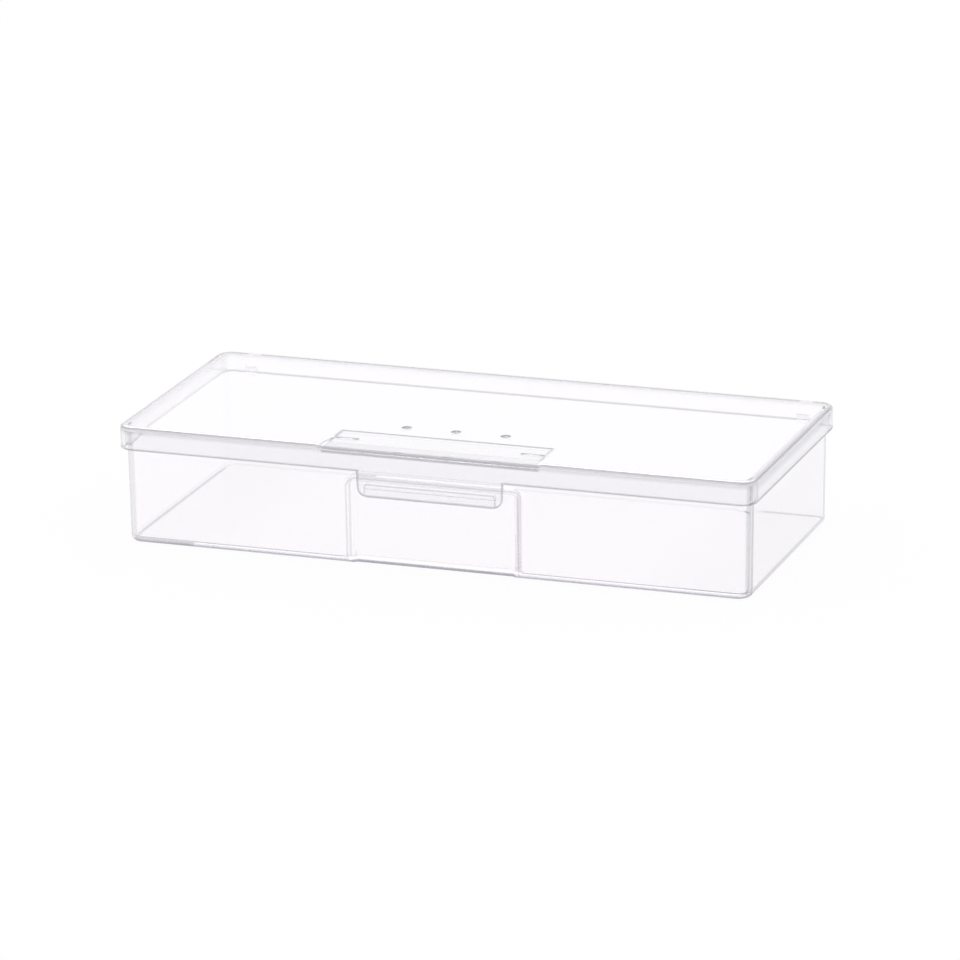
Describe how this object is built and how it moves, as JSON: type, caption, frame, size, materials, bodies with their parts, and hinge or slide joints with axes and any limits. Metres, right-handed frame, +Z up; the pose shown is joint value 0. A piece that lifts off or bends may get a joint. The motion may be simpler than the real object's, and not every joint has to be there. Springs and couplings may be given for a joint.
{
  "type": "snap-lid storage case",
  "caption": "Long shallow clear plastic case: a one-piece tray with a thumb recess and a flat lid hinged along the back that snaps shut with a front tongue.",
  "frame": {"origin": "middle of the underside of the tray", "axes": "+X along the length, +Y from the latch side to the hinge side, +Z up through the lid"},
  "size_m": [0.185, 0.0822, 0.034],
  "materials": {
    "tray": "clear, polished",
    "lid": "clear, polished"
  },
  "bodies": {
    "tray": {"tray": "tray"},
    "lid": {"lid": "lid"}
  },
  "joints": [
    {"name": "lid_hinge", "type": "hinge", "parent": "tray", "child": "lid", "pos_m": [0, 0.0399, 0.0278], "axis": [-1, 0, 0], "range_deg": [0, 180]}
  ]
}
